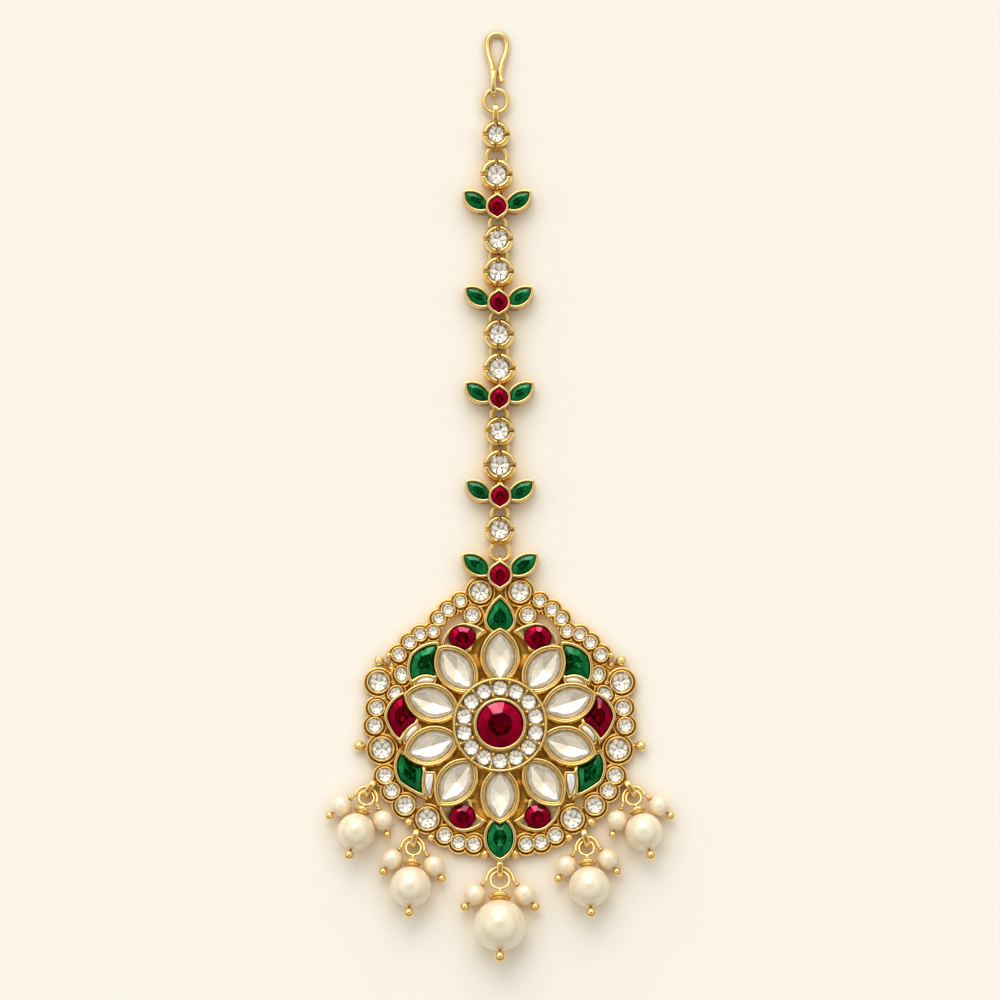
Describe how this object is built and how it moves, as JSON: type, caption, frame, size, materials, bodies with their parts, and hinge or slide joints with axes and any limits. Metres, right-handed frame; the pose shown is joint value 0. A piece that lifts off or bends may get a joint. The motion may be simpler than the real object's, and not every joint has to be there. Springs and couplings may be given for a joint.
{
  "type": "maang tikka",
  "caption": "Forehead jewel lying flat: a hook, a chain of stone settings with leaf shapes, a round flower medallion set with stones, and a fringe of pearl drops.",
  "frame": {"origin": "middle of the medallion's flat back, on the surface that the jewel lies on", "axes": "+Y runs from the medallion up the chain to the hook, +Z is the jewelled face, +X is to the viewer's right"},
  "size_m": [0.0572, 0.1557, 0.0085],
  "materials": {
    "gold": "polished yellow gold plate",
    "clear_stone": "faceted clear crystal",
    "petal_crystal": "foil-backed clear crystal with broad facets",
    "ruby": "faceted deep red glass",
    "emerald": "faceted deep green glass",
    "white_enamel": "glossy white enamel",
    "pearl": "soft cream pearl lustre"
  },
  "bodies": {
    "root": {"centre_ruby": "ruby", "chain_diamonds": "clear_stone", "chain_emeralds": "emerald", "chain_rings": "gold", "chain_rubies": "ruby", "drop_arch_1": "gold", "drop_arch_2": "gold", "drop_arch_3": "gold", "drop_arch_4": "gold", "drop_arch_5": "gold", "drop_pin_1": "gold", "drop_pin_2": "gold", "drop_pin_3": "gold", "drop_pin_4": "gold", "drop_pin_5": "gold", "enamel_crescents": "white_enamel", "halo_stones": "clear_stone", "hook": "gold", "hook_ring": "gold", "leaf_link_1": "gold", "leaf_link_2": "gold", "leaf_link_3": "gold", "leaf_link_4": "gold", "main_pearl_1": "pearl", "main_pearl_2": "pearl", "main_pearl_3": "pearl", "main_pearl_4": "pearl", "main_pearl_5": "pearl", "medallion_frame": "gold", "petal_emerald_1": "emerald", "petal_emerald_2": "emerald", "petal_emerald_3": "emerald", "petal_emerald_4": "emerald", "petal_emerald_5": "emerald", "petal_emerald_6": "emerald", "petal_ruby_1": "ruby", "petal_ruby_2": "ruby", "petal_ruby_3": "ruby", "petal_ruby_4": "ruby", "petal_ruby_5": "ruby", "petal_ruby_6": "ruby", "petal_stone_1": "petal_crystal", "petal_stone_10": "petal_crystal", "petal_stone_2": "petal_crystal", "petal_stone_3": "petal_crystal", "petal_stone_4": "petal_crystal", "petal_stone_5": "petal_crystal", "petal_stone_6": "petal_crystal", "petal_stone_7": "petal_crystal", "petal_stone_8": "petal_crystal", "petal_stone_9": "petal_crystal", "rim_stones": "clear_stone", "round_link_1": "gold", "round_link_2": "gold", "round_link_3": "gold", "round_link_4": "gold", "round_link_5": "gold", "small_pearls": "pearl"}
  },
  "joints": []
}
